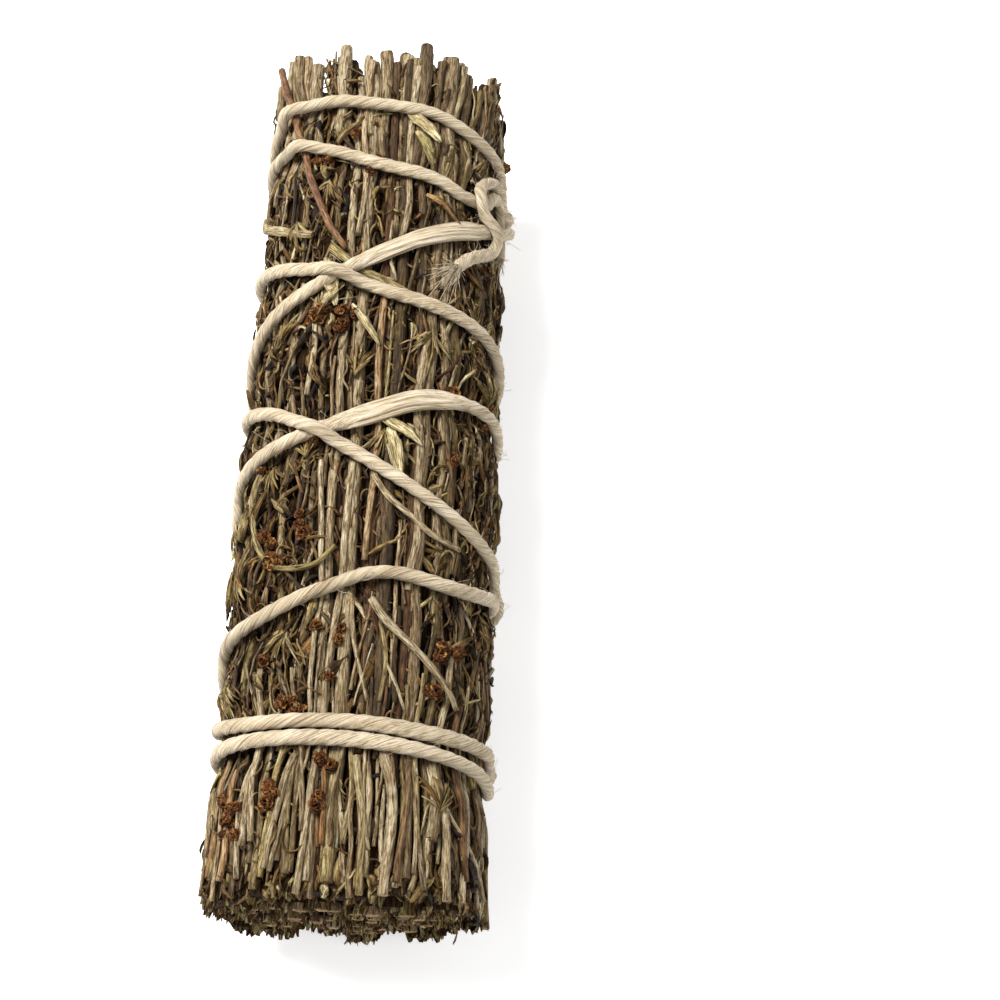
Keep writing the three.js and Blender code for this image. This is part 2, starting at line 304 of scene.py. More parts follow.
class Strands:
    """Gathers swept strands of several kinds of surface and makes one mesh of them."""

    def __init__(self, rng):
        self.rng = rng
        self.vertices, self.tones, self.grains = [], [], []
        self.loops, self.sizes, self.kinds = [], [], []
        self.count = 0

    def sweep(self, path, outward, section, kind, tone, twist=None):
        """Adds strands. path and outward are (strands, rings, 3), section is (strands, rings, corners, 2) as
        (sideways, outward), and tone is one number a strand or one a ring."""
        strands, rings, corners, _ = section.shape
        tangent = unit(np.gradient(path, axis=1))
        side = unit(np.cross(tangent, outward))
        out = np.cross(side, tangent)
        across, up = section[..., 0:1], section[..., 1:2]
        vertices = path[:, :, None] + side[:, :, None] * across + out[:, :, None] * up
        along = np.linalg.norm(np.diff(path, axis=1, prepend=path[:, :1]), axis=2).cumsum(axis=1)
        grain = self.grain_of(section, along, twist)
        index = self.count + np.arange(strands * rings * corners).reshape(strands, rings, corners)
        nxt = np.roll(index, -1, axis=2)
        quads = np.stack([index[:, :-1], nxt[:, :-1], nxt[:, 1:], index[:, 1:]], axis=-1).reshape(-1, 4)
        caps = np.concatenate([index[:, 0, ::-1], index[:, -1]])
        tones = np.broadcast_to(np.asarray(tone, dtype=float).reshape(strands, -1, 1), section.shape[:3])
        self.vertices.append(vertices.reshape(-1, 3))
        self.tones.append(tones.reshape(-1))
        self.grains.append(grain.reshape(-1, 3))
        self.loops += [quads.reshape(-1), caps.reshape(-1)]
        self.sizes += [np.full(len(quads), 4), np.full(len(caps), corners)]
        cap_kind = CUT if kind in (STEM, RED) else kind
        self.kinds += [np.full(len(quads), kind), np.full(len(caps), cap_kind)]
        self.count += strands * rings * corners

    def grain_of(self, section, along, twist):
        """A place for the grain of each strand, in mm, drawn out along it and different for each."""
        u, v = section[..., 0], section[..., 1]
        if twist is not None:
            c, s = np.cos(-twist)[..., None], np.sin(-twist)[..., None]
            u, v = u * c - v * s, u * s + v * c
        drawn_out = 0.12 if twist is None else 0.035
        along = np.broadcast_to(along[..., None] * drawn_out, u.shape)
        offset = self.rng.uniform(0, 500, (len(section), 1, 1, 3))
        return np.stack([u, v, along], axis=-1) / MM + offset

    def make(self, name, materials):
        mesh = bpy.data.meshes.new(name)
        vertices = np.concatenate(self.vertices)
        loops = np.concatenate(self.loops)
        sizes = np.concatenate(self.sizes)
        mesh.vertices.add(len(vertices))
        mesh.vertices.foreach_set("co", vertices.ravel())
        mesh.loops.add(len(loops))
        mesh.loops.foreach_set("vertex_index", loops.astype(np.int32))
        mesh.polygons.add(len(sizes))
        mesh.polygons.foreach_set("loop_start", (np.cumsum(sizes) - sizes).astype(np.int32))
        mesh.polygons.foreach_set("material_index", np.concatenate(self.kinds).astype(np.int32))
        mesh.polygons.foreach_set("use_smooth", sizes == 4)
        tone = mesh.attributes.new("tone", "FLOAT", "POINT")
        tone.data.foreach_set("value", np.concatenate(self.tones))
        grain = mesh.attributes.new("grain", "FLOAT_VECTOR", "POINT")
        grain.data.foreach_set("vector", np.concatenate(self.grains).ravel())
        mesh.update(calc_edges=True)
        piece = bpy.data.objects.new(name, mesh)
        bpy.context.scene.collection.objects.link(piece)
        for material in materials:
            mesh.materials.append(material)
        return piece


def unit(vectors):
    return vectors / np.maximum(np.linalg.norm(vectors, axis=-1, keepdims=True), 1e-12)


def circle(corners):
    angle = np.arange(corners) / corners * 2 * math.pi
    return np.stack([np.cos(angle), np.sin(angle)], axis=-1)


def wander(rng, strands, rings, size, bends=3):
    """Smooth random offsets along strands, about zero."""
    t = np.linspace(0, 1, rings)
    total = np.zeros((strands, rings))
    for bend in range(1, bends + 1):
        phase = rng.uniform(0, 2 * math.pi, (strands, 1))
        total += rng.normal(0, size / bend, (strands, 1)) * np.sin(bend * math.pi * t + phase)
    return total


def bark_section(rng, radius, corners):
    """Round sections with ridges and a few knots: radius is (strands, rings)."""
    strands, rings = radius.shape
    ridges = rng.uniform(0.86, 1.08, (strands, 1, corners))
    rough = rng.uniform(0.95, 1.05, (strands, rings, corners))
    return circle(corners)[None, None] * (radius[..., None] * ridges * rough)[..., None]


def leaf_section(rng, half_width, curl, roll, rings, corners=6):
    """Thin crescents that narrow to a point at both ends, rolled over by an angle."""
    strands = len(half_width)
    t = np.linspace(0, 1, rings)
    taper = np.sin(math.pi * (0.06 + 0.88 * t)) ** 0.7
    width = half_width[:, None] * taper * rng.uniform(0.85, 1.15, (strands, rings))
    across = width[..., None] * circle(corners)[:, 0]
    bend = curl[:, None, None] * across**2 / half_width[:, None, None]
    up = 0.09 * MM * circle(corners)[:, 1] * taper[:, None] + bend - bend.mean(axis=-1, keepdims=True)
    turn = roll[:, None] + rng.normal(0, 0.7, (strands, 1)) * t
    c, s = np.cos(turn)[..., None], np.sin(turn)[..., None]
    return np.stack([across * c - up * s, across * s + up * c], axis=-1)


# The sprigs


class OuterSprig:
    """One sprig at the outside, on its share of the outline: leaf mass, stems, leaves and flower heads."""

    def __init__(self, node, grooves, seed):
        self.node = node
        self.rng = np.random.default_rng(seed)
        self.strands = Strands(self.rng)
        self.grooves = grooves
        low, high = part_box(node)
        self.low, self.high = low[1], high[1]
        self.middle, self.half = share_of(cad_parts[node])
        facing = math.degrees(UNROLLED.angle_of(self.middle)) % 360
        on_the_high_side = HIGH_SIDE[0] < facing < HIGH_SIDE[1]
        self.top = max(self.high, HIGH_TOP) if on_the_high_side else self.high
        self.density = 0.65 if facing > 180 else 1
        self.woody = WOODY[0] < facing < WOODY[1] or facing > 180 and self.rng.random() < 0.4

    def lifted(self, distance, y, outset):
        """Points and normals at a distance round, y and outset, pressed in under the twine."""
        y = np.clip(y, self.low - 0.4 * MM, self.top)
        angle = UNROLLED.angle_of(distance)
        swell = self.grooves.swell(angle, y) * BULGE
        return on_surface(angle, y, outset + swell)

    def add(self, distance, y, outset, section, kind, tone):
        points, normals = self.lifted(distance, y, outset)
        self.strands.sweep(points, normals, section, kind, tone)

    def leaf_mass_painted_shade(self):
        """What the leaves underneath fill: a ragged body that closes the gaps, near-black as painted shade
        between the strands.
        """
        rings = 40
        y = np.linspace(self.low + 0.6 * MM, self.high - 1.5 * MM, rings)[None]
        corners = circle(10)
        half = np.array([self.half + 0.35 * MM, 1.25 * MM])
        section = corners * half * self.rng.uniform(0.82, 1.1, (1, rings, 10, 1))
        outset = np.full((1, rings), -2.0 * MM)
        self.add(np.full((1, rings), self.middle), y, outset, section, MASS, [0.5])

    def long_stems(self):
        """The sprig's own stem and thinner ones, from the sawn base to the tip."""
        rings = 48
        t = np.linspace(0, 1, rings)
        thick = (0.75, 1.2) if self.woody else (0.3, 0.6)
        for offset, share, sunk in ((-0.5, 1, 0), (0.5, 0.62, 0.2), (0.05, 0.5, 0.7)):
            start = self.low + self.rng.choice([0, self.rng.uniform(0, 50)], p=[0.7, 0.3]) * MM
            end = self.high - self.rng.uniform(0, 3) * MM
            y = (start + self.rng.uniform(-0.3, 2.4) * MM + (end - start) * t)[None]
            distance = self.middle + offset * self.half + wander(self.rng, 1, rings, 0.35 * MM)
            shape = 1 - 0.12 * t + 0.14 * np.sin(t * 37 + self.rng.uniform(0, 6)) ** 14
            r = (self.rng.uniform(*thick) * share * MM * shape)[None]
            deep = sunk if self.woody else sunk + 0.35
            outset = -deep * MM - 0.8 * r + wander(self.rng, 1, rings, 0.16 * MM)
            tone = self.rng.uniform(0.1, 0.85)
            self.add(distance, y, outset, bark_section(self.rng, r, 10), STEM, [tone])

    def end_stems(self, count, at_top):
        """Stems sawn off near the tip or the base."""
        rng, rings = self.rng, 12
        t = np.linspace(0, 1, rings)
        length = rng.uniform(10, 26, (count, 1)) * MM
        tip = self.top - rng.uniform(0, 3.5, (count, 1)) * MM
        base = self.low + rng.uniform(0.3, 8, (count, 1)) * MM
        y = tip - length * t if at_top else base + length * t
        lean = np.radians(rng.normal(0, 3 if at_top else 5, (count, 1)))
        distance = self.middle + rng.uniform(-0.95, 0.95, (count, 1)) * self.half
        distance = distance + length * np.sin(lean) * t + wander(rng, count, rings, 0.25 * MM)
        thick = (0.5, 1.05) if at_top else (0.2, 0.55)
        radius = rng.uniform(*thick, (count, 1)) * MM * (1 - 0.2 * t + 0.06 * np.sin(t * 11))
        outset = rng.uniform(-1.0, 0.6, (count, 1)) * MM - 0.8 * radius
        self.add(distance, y, outset, bark_section(rng, radius, 8), STEM, rng.uniform(0.3, 1, count))

    def packed_ends(self, count, at_top):
        """Leaf ends packed between the stems at the tip or the sawn base."""
        rng, rings = self.rng, 4
        t = np.linspace(0, 1, rings)
        length = rng.uniform(1.5, 5, (count, 1)) * MM
        tip = self.high - rng.uniform(1, 5, (count, 1)) * MM
        base = self.low + rng.uniform(-0.3, 1.6, (count, 1)) * MM
        y = tip - length * t if at_top else base + length * t
        distance = self.middle + rng.uniform(-1.1, 1.1, (count, 1)) * self.half
        distance = distance + wander(rng, count, rings, 0.35 * MM)
        outset = rng.uniform(-4.2, -0.4, (count, 1)) * MM + wander(rng, count, rings, 0.3 * MM)
        half_width = rng.uniform(0.25, 0.8, count) * MM
        section = leaf_section(rng, half_width, rng.normal(0, 1, count), rng.normal(0, 0.7, count), rings, 4)
        self.add(distance, y, outset, section, LEAF, np.clip(rng.normal(0.6, 0.25, count), 0, 1))

    def shoots(self, count):
        """Side shoots and broken stems, lying a little askew on and between the leaves."""
        rng, rings = self.rng, 12
        t = np.linspace(0, 1, rings)
        length = (4 + rng.gamma(2, 5, (count, 1))) * MM
        lean = np.radians(rng.normal(0, 7 if self.woody else 17, (count, 1)))
        y0 = rng.uniform(self.low, self.high - 9 * MM, (count, 1))
        length = np.minimum(length, self.high - 1 * MM - y0)
        y = y0 + length * np.cos(lean) * t
        distance = self.middle + rng.uniform(-1, 1, (count, 1)) * self.half
        distance = distance + length * np.sin(lean) * (t - 0.5) + wander(rng, count, rings, 0.3 * MM)
        radius = rng.uniform(0.12, 0.5, (count, 1)) * MM * (1 - 0.4 * t)
        outset = rng.uniform(-0.4, 0.5, (count, 1)) * MM - radius + wander(rng, count, rings, 0.15 * MM)
        self.add(distance, y, outset, bark_section(rng, radius, 5), STEM, rng.uniform(0, 0.95, count))

    def depths(self, count):
        """How deep each of some leaves lies, from 0 to 1 for the outermost, and its outset."""
        depth = self.rng.beta(1.5, 1.5, count)
        top = 0.1 if self.woody else 0.55
        return depth, (-1.3 + (1.3 + top) * depth[:, None]) * MM

    def scraps(self, count):
        """Narrow rolled leaves, mostly along the bundle, painted darker the deeper they lie as shade and
        paler at the top as a highlight.
        """
        rng, rings = self.rng, 6
        t = np.linspace(0, 1, rings)
        length = (1.2 + rng.gamma(2.6, 0.9, (count, 1))) * MM
        lean = np.radians(rng.normal(0, 38, (count, 1)))
        y0 = rng.uniform(self.low - 1 * MM, self.high - 5 * MM, (count, 1))
        moved = (y0 < LEAFY_FROM) & (rng.random((count, 1)) < 0.65)
        y0 = np.where(moved, rng.uniform(LEAFY_FROM, 30 * MM, (count, 1)), y0)
        y = y0 + length * np.cos(lean) * t
        distance = self.middle + rng.uniform(-1.15, 1.15, (count, 1)) * self.half
        distance = distance + length * np.sin(lean) * (t - 0.5) + wander(rng, count, rings, 0.26 * MM)
        depth, outset = self.depths(count)
        outset = outset + wander(rng, count, rings, 0.2 * MM, 4)
        half_width = (0.12 + rng.gamma(2, 0.1, count)) * MM
        curl, roll = rng.normal(0, 1.1, count), rng.normal(0, 0.8, count)
        section = leaf_section(rng, half_width, curl, roll, rings, 4)
        # Tone rises with depth: painted shade on the deep leaves, painted highlight on the outermost.
        tone = np.clip(0.05 + 0.55 * depth + rng.normal(0, 0.24, count), 0, 1)
        self.add(distance, y, outset, section, LEAF, tone)

    def curls(self, count):
        """Leaves dried into hooks, painted darker the deeper they lie as shade and paler at the top as a
        highlight.
        """
        rng, rings = self.rng, 8
        t = np.linspace(0, 1, rings)
        radius = rng.uniform(0.5, 1.7, (count, 1)) * MM
        turn = rng.uniform(1.6, 4.2, (count, 1)) * rng.choice([-1, 1], (count, 1))
        angle = rng.uniform(0, 2 * math.pi, (count, 1)) + turn * t
        y0 = rng.uniform(self.low + 2 * MM, self.high - 6 * MM, (count, 1))
        y = y0 + 1.5 * radius * np.sin(angle)
        distance = self.middle + rng.uniform(-1.1, 1.1, (count, 1)) * self.half + radius * np.cos(angle)
        depth, outset = self.depths(count)
        outset = outset + wander(rng, count, rings, 0.25 * MM)
        half_width = rng.uniform(0.1, 0.26, count) * MM
        section = leaf_section(rng, half_width, rng.normal(0, 1.2, count), rng.normal(0, 1, count), rings, 4)
        # Tone rises with depth: painted shade on the deep leaves, painted highlight on the outermost.
        tone = np.clip(0.08 + 0.55 * depth + rng.normal(0, 0.2, count), 0, 1)
        self.add(distance, y, outset, section, LEAF, tone)

    def tuft(self, distance, y):
        """A side shoot's tip: small narrow leaves fanned out from a point."""
        rng, count, rings = self.rng, 14, 6
        t = np.linspace(0, 1, rings)
        facing = rng.choice([-1, 1])
        fan = np.radians(rng.normal(0, 24, (count, 1)))
        length = rng.uniform(2.2, 5.5, (count, 1)) * MM
        ys = y + facing * length * np.cos(fan) * t
        distances = distance + length * np.sin(fan) * t**1.4
        outset = 0.35 * MM + rng.uniform(-0.3, 0.25, (count, 1)) * MM + 0.3 * MM * np.sin(math.pi * t)
        half_width = rng.uniform(0.14, 0.3, count) * MM
        curl, roll = rng.normal(1, 0.6, count), rng.normal(0, 0.5, count)
        section = leaf_section(rng, half_width, curl, roll, rings, 4)
        self.add(distances, ys, outset, section, LEAF, rng.uniform(0.55, 0.95, count))

    def tufts(self, count):
        for _ in range(count):
            distance = self.middle + self.rng.uniform(-0.5, 0.5) * self.half
            self.tuft(distance, self.rng.uniform(self.low + 8 * MM, self.high - 8 * MM))

    def flower_head(self, distance, y, size):
        """A dried whorl: bracts round a centre, each a small pointed cup."""
        rng, count, rings = self.rng, 22, 5
        t = np.linspace(0, 1, rings)
        centre, normal = self.lifted(np.array([distance]), np.array([y]), np.array([0.1 * MM]))
        along = np.array([0, 1.0, 0])
        side = unit(np.cross(along, normal[0]))
        turn = np.arange(count) * 2.4 + rng.uniform(0, 6)
        lift = np.sqrt((np.arange(count) + 0.5) / count)
        flat = np.cos(turn)[:, None] * side + np.sin(turn)[:, None] * along
        up = np.sqrt(1 - 0.92 * lift**2)[:, None] * normal[0]
        direction = unit(flat * lift[:, None] + up)
        reach = size * rng.uniform(0.75, 1.1, (count, 1, 1))
        path = centre[0] + direction[:, None] * reach * (0.15 + 0.85 * t[:, None])
        path = path - 0.25 * size * normal[0] * (t**2)[None, :, None] * lift[:, None, None]
        outward = unit(np.broadcast_to(normal[0], path.shape) - direction[:, None] * 0.6 + 1e-3)
        section = leaf_section(rng, np.full(count, 0.42 * size), np.full(count, 0.9), np.zeros(count), rings)
        self.strands.sweep(path, outward, section, FLOWER, rng.uniform(0.1, 1, count))

    def whorl(self, distance, y):
        """Flower heads that grew together."""
        for _ in range(self.rng.integers(1, 4)):
            nudge = self.rng.normal(0, 0.8, 2) * MM
            self.flower_head(distance + nudge[0], y + nudge[1], self.rng.uniform(0.95, 1.45) * MM)

    def flower_heads(self):
        """Those of the front where they show, and a few elsewhere."""
        for angle, y in flower_places():
            distance = UNROLLED.round_of(np.array(math.radians(angle)))
            if self.holds(distance):
                self.whorl(float(distance), y * MM)
        if not 0 < math.sin(UNROLLED.angle_of(self.middle)):
            for y in self.rng.uniform(self.low + 12 * MM, self.high - 6 * MM, 2):
                if self.grooves.swell(UNROLLED.angle_of(self.middle), y) > 0.4:
                    self.whorl(self.middle, y)

    def broad_leaves(self):
        """Pale pointed leaves that lie flat on the front."""
        rings = 11
        t = np.linspace(0, 1, rings)
        for angle, y, lean in BROAD_LEAVES:
            distance = float(UNROLLED.round_of(np.array(math.radians(angle))))
            if not self.holds(distance):
                continue
            length = self.rng.uniform(6, 9) * MM
            slant = math.radians(lean)
            ys = (y * MM - length * math.cos(slant) * t)[None]
            away = (distance - length * math.sin(slant) * t)[None]
            outset = (0.75 * MM + 0.35 * MM * np.sin(math.pi * t))[None]
            half_width = np.array([self.rng.uniform(0.6, 1.0) * MM])
            section = leaf_section(self.rng, half_width, np.array([0.8]), np.zeros(1), rings)
            self.add(away, ys, outset, section, LEAF, [0.95])

    def holds(self, distance):
        """Whether a distance round is in this sprig's share."""
        away = (distance - self.middle + UNROLLED.length / 2) % UNROLLED.length - UNROLLED.length / 2
        return abs(away) <= self.half

    def drawn_stem(self, diameter, spots):
        rings = max(6, round(np.ptp(spots[:, 1]) / (1.2 * MM)))
        t = np.linspace(0, len(spots) - 1, rings)
        angle = np.interp(t, np.arange(len(spots)), spots[:, 0])
        y = np.interp(t, np.arange(len(spots)), spots[:, 1])[None]
        shape = np.linspace(1, 0.8, rings) + 0.1 * np.sin(np.linspace(0, 30, rings)) ** 6
        radius = (diameter / 2 * shape)[None]
        outset = 0.32 * MM - radius * 0.6
        distance = UNROLLED.round_of(angle)[None] + wander(self.rng, 1, rings, 0.1 * MM)
        self.add(distance, y, outset, bark_section(self.rng, radius, 8), STEM, [self.rng.uniform(0.7, 1)])

    def make(self, materials):
        self.leaf_mass_painted_shade()
        self.long_stems()
        self.end_stems(3, at_top=True)
        self.end_stems(6, at_top=False)
        self.packed_ends(50, at_top=True)
        self.packed_ends(50, at_top=False)
        self.shoots(SHOOTS)
        share = self.density * (0.7 if self.woody else 1)
        self.scraps(round(SCRAPS * share))
        self.curls(round(CURLS * share))
        self.tufts(1 if self.woody else 4)
        self.flower_heads()
        self.broad_leaves()
        for diameter, route in DRAWN_STEMS:
            spots = route_spots(route, 0, 1 * MM)
            if self.holds(UNROLLED.round_of(spots[:, 0].mean())):
                self.drawn_stem(diameter * MM, spots)
        finish_piece(self.strands.make("detailed_" + self.node, materials), self.node)


def flower_places():
    """The places of the flower heads on the front, the same at every call."""
    rng = np.random.default_rng(FLOWER_SEED)
    places = []
    for from_angle, to_angle, from_y, to_y, count in FLOWER_PATCHES:
        places += [(rng.uniform(from_angle, to_angle), rng.uniform(from_y, to_y)) for _ in range(count)]
    return places


def share_of(node):
    """The middle of a sprig's share of the outline, and half its width, from its CAD mesh."""
    points = np.empty(len(node.data.vertices) * 3)
    node.data.vertices.foreach_get("co", points)
    x, y, z = points.reshape(-1, 3).T
    share = girth(y)
    z = (z - MIDDLE_Z + SPRIG_HEIGHT) / share - SPRIG_HEIGHT
    angle = np.arctan2(z / (SPRIG_HEIGHT + FLAT_DEPTH), x / share / SPRIG_WIDTH)
    middle = math.atan2(np.sin(angle).mean(), np.cos(angle).mean())
    spread = (angle - middle + math.pi) % (2 * math.pi) - math.pi
    start = UNROLLED.round_of(np.array(middle + spread.min()))
    end = UNROLLED.round_of(np.array(middle + spread.max()))
    return (start + end) / 2, (end - start) / 2


def inner_sprig(node, materials, seed):
    """A sprig inside, of which only the ends show: a leaf mass, stems, and leaf ends at both cut faces."""
    rng = np.random.default_rng(seed)
    strands = Strands(rng)
    low, high = (np.array(corner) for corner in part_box(node))
    centre, half = (low + high) / 2, (high - low) / 2
    up = np.array([0, 0, 1.0])

    def inside(x, y, z):
        y = np.clip(y, low[1], high[1])
        scale = girth(y)
        return np.stack([(centre[0] + x) * scale, y, centre[2] + z * scale], axis=-1)

    rings = 24
    y = np.linspace(low[1] + 1 * MM, high[1] - 1.2 * MM, rings)[None]
    path = inside(np.zeros((1, rings)), y, np.zeros((1, rings)))
    section = circle(10) * (half[[0, 2]] + 0.15 * MM) * rng.uniform(0.85, 1.05, (1, rings, 10, 1))
    strands.sweep(path, np.broadcast_to(up, path.shape), section, MASS, [0.4])

    count, rings = 5, 12
    t = np.linspace(0, 1, rings)
    x = rng.uniform(-0.6, 0.6, (count, 1)) * half[0] + wander(rng, count, rings, 0.1 * MM)
    z = rng.uniform(-0.6, 0.6, (count, 1)) * half[2] + wander(rng, count, rings, 0.1 * MM)
    start = low[1] + rng.uniform(0, 0.8, (count, 1)) * MM
    end = high[1] - rng.uniform(0, 4, (count, 1)) * MM
    path = inside(x, start + (end - start) * t, z)
    radius = rng.uniform(0.5, 1.0, (count, 1)) * MM * (1 - 0.15 * t)
    tone = rng.uniform(0.3, 0.9, count)
    strands.sweep(path, np.broadcast_to(up, path.shape), bark_section(rng, radius, 8), STEM, tone)

    count, rings = LEAVES_PER_END * 2, 4
    t = np.linspace(0, 1, rings)
    at_base = (np.arange(count) % 2 == 0)[:, None]
    x = rng.uniform(-1, 1, (count, 1)) * half[0] + wander(rng, count, rings, 0.3 * MM)
    z = rng.uniform(-1, 1, (count, 1)) * half[2] + wander(rng, count, rings, 0.3 * MM)
    length = rng.uniform(2.5, 7, (count, 1)) * MM
    base = low[1] + rng.uniform(-0.6, 1.0, (count, 1)) * MM
    tip = high[1] - rng.uniform(0.6, 4, (count, 1)) * MM
    y = np.where(at_base, base + length * t, tip - length * (1 - t))
    path = inside(x, y, z)
    half_width = rng.uniform(0.3, 0.8, count) * MM
    section = leaf_section(rng, half_width, rng.normal(0, 0.8, count), rng.uniform(0, 6.28, count), rings, 4)
    tone = np.clip(rng.normal(0.62, 0.25, count), 0, 1)
    strands.sweep(path, np.broadcast_to(up, path.shape), section, LEAF, tone)
    finish_piece(strands.make("detailed_" + node, materials), node)


# Twigs and twine


def loose_twig(node, kind, diameter, route, materials, seed, grooves):
    rng = np.random.default_rng(seed)
    strands = Strands(rng)
    spots = route_spots(route, 0, 0.6 * MM)
    rings = len(spots)
    flatness = FLATTENED if node == "crossing_twig" else 1
    lift = 0.8 * BULGE * grooves.swell(spots[:, 0], spots[:, 1])
    points, normals = on_surface(spots[:, 0], spots[:, 1], CLEARANCE + diameter / 2 + lift)
    shape = np.linspace(1, 0.75, rings) + 0.14 * np.sin(np.linspace(0, rings / 4, rings)) ** 8
    section = bark_section(rng, (diameter / 2 * shape)[None], 10) * flatness
    strands.sweep(points[None], normals[None], section, kind, [0.85])
    finish_piece(strands.make("detailed_" + node, materials), node)


def laid_twigs():
    """The centrelines of the loose twigs, and how high the twine has to rise over each."""
    laid = []
    for _, diameter, route in LOOSE_TWIGS.values():
        outset = CLEARANCE + diameter / 2 * MM
        spots = route_spots(route, outset, 0.6 * MM)
        laid.append((on_surface(spots[:, 0], spots[:, 1], outset)[0], diameter * MM + CLEARANCE))
    return laid


def twine_spots():
    return route_spots(TWINE_ROUTE, CLEARANCE + TWINE_DIAMETER / 2, TWINE_SPACING)


def twine(spots, materials):
    """One loosely twisted cotton string, with lobes for its plies and loose fibres along it."""
    rng = np.random.default_rng(77)
    strands = Strands(rng)
    outset = CLEARANCE + TWINE_DIAMETER / 2
    flat, normals = on_surface(spots[:, 0], spots[:, 1], outset)
    heights = crossing_heights(flat, laid_twigs())
    path = flat + normals * heights[:, None]
    rings, corners = len(path), 32
    along = np.arange(rings) * TWINE_SPACING
    flatness = ribbon_share(np.degrees(spots[:, 0]))
    twist = np.cumsum(1 - flatness) * TWINE_SPACING / TWIST_PITCH * 2 * math.pi
    angle = np.arange(corners) / corners * 2 * math.pi
    turned = angle[None] - twist[:, None]
    round_lobes = 0.82 + 0.18 * np.abs(np.cos(PLIES / 2 * turned))
    flat_lobes = 0.64 + 0.36 * np.abs(np.cos(PLIES * turned))
    lobes = round_lobes + (flat_lobes - round_lobes) * flatness[:, None]
    loose = 1 + 0.06 * np.sin(along / (13 * MM)) + 0.05 * np.sin(along / (4.1 * MM))
    width = TWINE_DIAMETER / 2 * (1.1 + 0.6 * flatness) * loose
    height = TWINE_DIAMETER / 2 * (0.94 - 0.38 * flatness) / loose
    ends = np.clip(np.minimum(along, along[-1] - along) / (1.5 * MM), 0.35, 1)
    section = np.stack(
        [
            (width * ends)[:, None] * lobes * np.cos(angle),
            (height * ends)[:, None] * lobes * np.sin(angle),
        ],
        axis=-1,
    )
    strands.sweep(path[None], normals[None], section[None], 0, [0.5], twist[None])
    fuzz(strands, rng, path, normals)
    frayed_end(strands, rng, path[:8], normals[0], 30)
    frayed_end(strands, rng, path[::-1][:8], normals[-1], 110)
    finish_piece(strands.make("twisted_twine", materials), "twine")


def ribbon_share(angles):
    """1 where the twine lies flat as a ribbon, 0 where it's round, by its angle along the route."""
    share = np.zeros(len(angles))
    for start, end in RIBBONS:
        share[(angles > start) & (angles < end)] = 1
    return smoothed(share, 6)


def fuzz(strands, rng, path, normals):
    """Fibres that stand off the twine, more of them round the knot."""
    rings = 6
    t = np.linspace(0, 1, rings)[None, :, None]
    i = rng.integers(4, len(path) - 4, FUZZ_COUNT)
    at_knot = rng.random(FUZZ_COUNT) < 0.3
    i = np.where(at_knot, len(path) - rng.integers(4, 70, FUZZ_COUNT), i)
    tangent = unit(path[i + 1] - path[i - 1])
    side = np.cross(tangent, normals[i])
    turn = rng.uniform(-0.6, math.pi + 0.6, (FUZZ_COUNT, 1))
    out = np.cos(turn) * side + np.sin(turn) * normals[i]
    length = np.minimum(rng.gamma(2.2, 0.45, (FUZZ_COUNT, 1, 1)), 2.2) * MM
    drift = unit(rng.normal(0, 1, (FUZZ_COUNT, 3)))
    start = path[i] + out * TWINE_DIAMETER * 0.4
    lean = unit(out * 0.8 + tangent * rng.normal(0, 1, (FUZZ_COUNT, 1)))
    fibres = start[:, None] + lean[:, None] * length * t + drift[:, None] * length * 0.45 * t**2
    fibres[..., 2] = np.maximum(fibres[..., 2], 0.1 * MM)
    radius = np.full((FUZZ_COUNT, rings), 0.028 * MM)
    section = circle(3)[None, None] * radius[..., None, None]
    strands.sweep(fibres, np.broadcast_to(out[:, None], fibres.shape), section, 0, np.full(FUZZ_COUNT, 0.8))


def frayed_end(strands, rng, path, normal, count):
    """The fibres of an end, coming apart."""
    rings = 8
    t = np.linspace(0, 1, rings)[None, :, None]
    forward = unit(path[0] - path[3])
    spread = unit(rng.normal(0, 1, (count, 3)))
    length = rng.uniform(1.5, 4.2, (count, 1, 1)) * MM
    start = path[2] + spread * 0.45 * MM
    fibres = start[:, None] + (forward + 0.55 * spread)[:, None] * length * t
    curl = unit(rng.normal(0, 1, (count, 3)))
    fibres = fibres + curl[:, None] * length * 0.5 * t**2 - normal * length * 0.25 * t**2
    radius = np.broadcast_to(0.07 * MM * (1 - 0.6 * np.linspace(0, 1, rings)), (count, rings))
    section = circle(4)[None, None] * radius[..., None, None]
    strands.sweep(fibres, np.broadcast_to(normal, fibres.shape), section, 0, np.full(count, 0.6))


def finish_piece(piece, node):
    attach(piece, "root")
    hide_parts(node)


# Materials


